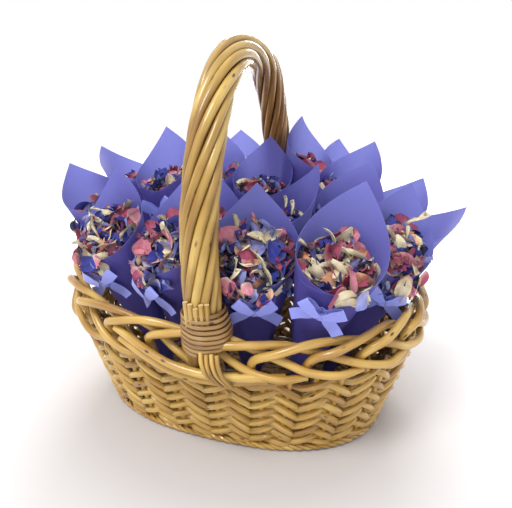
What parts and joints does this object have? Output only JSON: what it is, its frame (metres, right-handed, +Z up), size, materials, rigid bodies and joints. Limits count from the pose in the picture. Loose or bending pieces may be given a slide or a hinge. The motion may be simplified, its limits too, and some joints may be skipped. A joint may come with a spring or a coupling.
{
  "type": "wicker basket of petal confetti cones",
  "caption": "Oval willow basket with a tall roped arch handle, packed with rolled paper cones of dried flower petals, each cone tied with a satin ribbon bow",
  "frame": {"origin": "middle of the flat underside of the base, on the floor", "axes": "+X along the basket's long axis, +Y from the front with the bows to the back, +Z up"},
  "size_m": [0.3696, 0.2901, 0.324],
  "materials": {
    "weave_willow": "glossy buff willow rods, woven",
    "base_willow": "plain willow base in the shade",
    "border_willow": "glossy buff willow rods, plaited border",
    "handle_willow": "glossy buff willow rods, roped",
    "binding_cane": "flat cane, wound tight",
    "lap_willow": "thin willow rods",
    "paper": "matt violet-blue craft paper",
    "petals": "dried petals in blue, pink and cream",
    "ribbon": "pale periwinkle satin ribbon"
  },
  "bodies": {
    "root": {"basket_base": "base_willow", "side_weave": "weave_willow", "rim_border_left": "border_willow", "rim_border_right": "border_willow", "handle_rope": "handle_willow", "front_binding": "binding_cane", "front_lap_rods": "lap_willow", "back_binding": "binding_cane", "back_lap_rods": "lap_willow", "paper_cone_01": "paper", "petals_01": "petals", "ribbon_bow_01": "ribbon", "paper_cone_02": "paper", "petals_02": "petals", "ribbon_bow_02": "ribbon", "paper_cone_03": "paper", "petals_03": "petals", "ribbon_bow_03": "ribbon", "paper_cone_04": "paper", "petals_04": "petals", "ribbon_bow_04": "ribbon", "paper_cone_05": "paper", "petals_05": "petals", "ribbon_bow_05": "ribbon", "paper_cone_06": "paper", "petals_06": "petals", "ribbon_bow_06": "ribbon", "paper_cone_07": "paper", "petals_07": "petals", "ribbon_bow_07": "ribbon", "paper_cone_08": "paper", "petals_08": "petals", "ribbon_bow_08": "ribbon", "paper_cone_09": "paper", "petals_09": "petals", "ribbon_bow_09": "ribbon", "paper_cone_10": "paper", "petals_10": "petals", "ribbon_bow_10": "ribbon", "paper_cone_11": "paper", "petals_11": "petals", "ribbon_bow_11": "ribbon", "paper_cone_12": "paper", "petals_12": "petals", "paper_cone_13": "paper", "petals_13": "petals", "paper_cone_14": "paper", "petals_14": "petals", "paper_cone_15": "paper", "petals_15": "petals", "paper_cone_16": "paper", "petals_16": "petals", "paper_cone_17": "paper", "petals_17": "petals", "paper_cone_18": "paper", "petals_18": "petals", "paper_cone_19": "paper", "petals_19": "petals"}
  },
  "joints": []
}
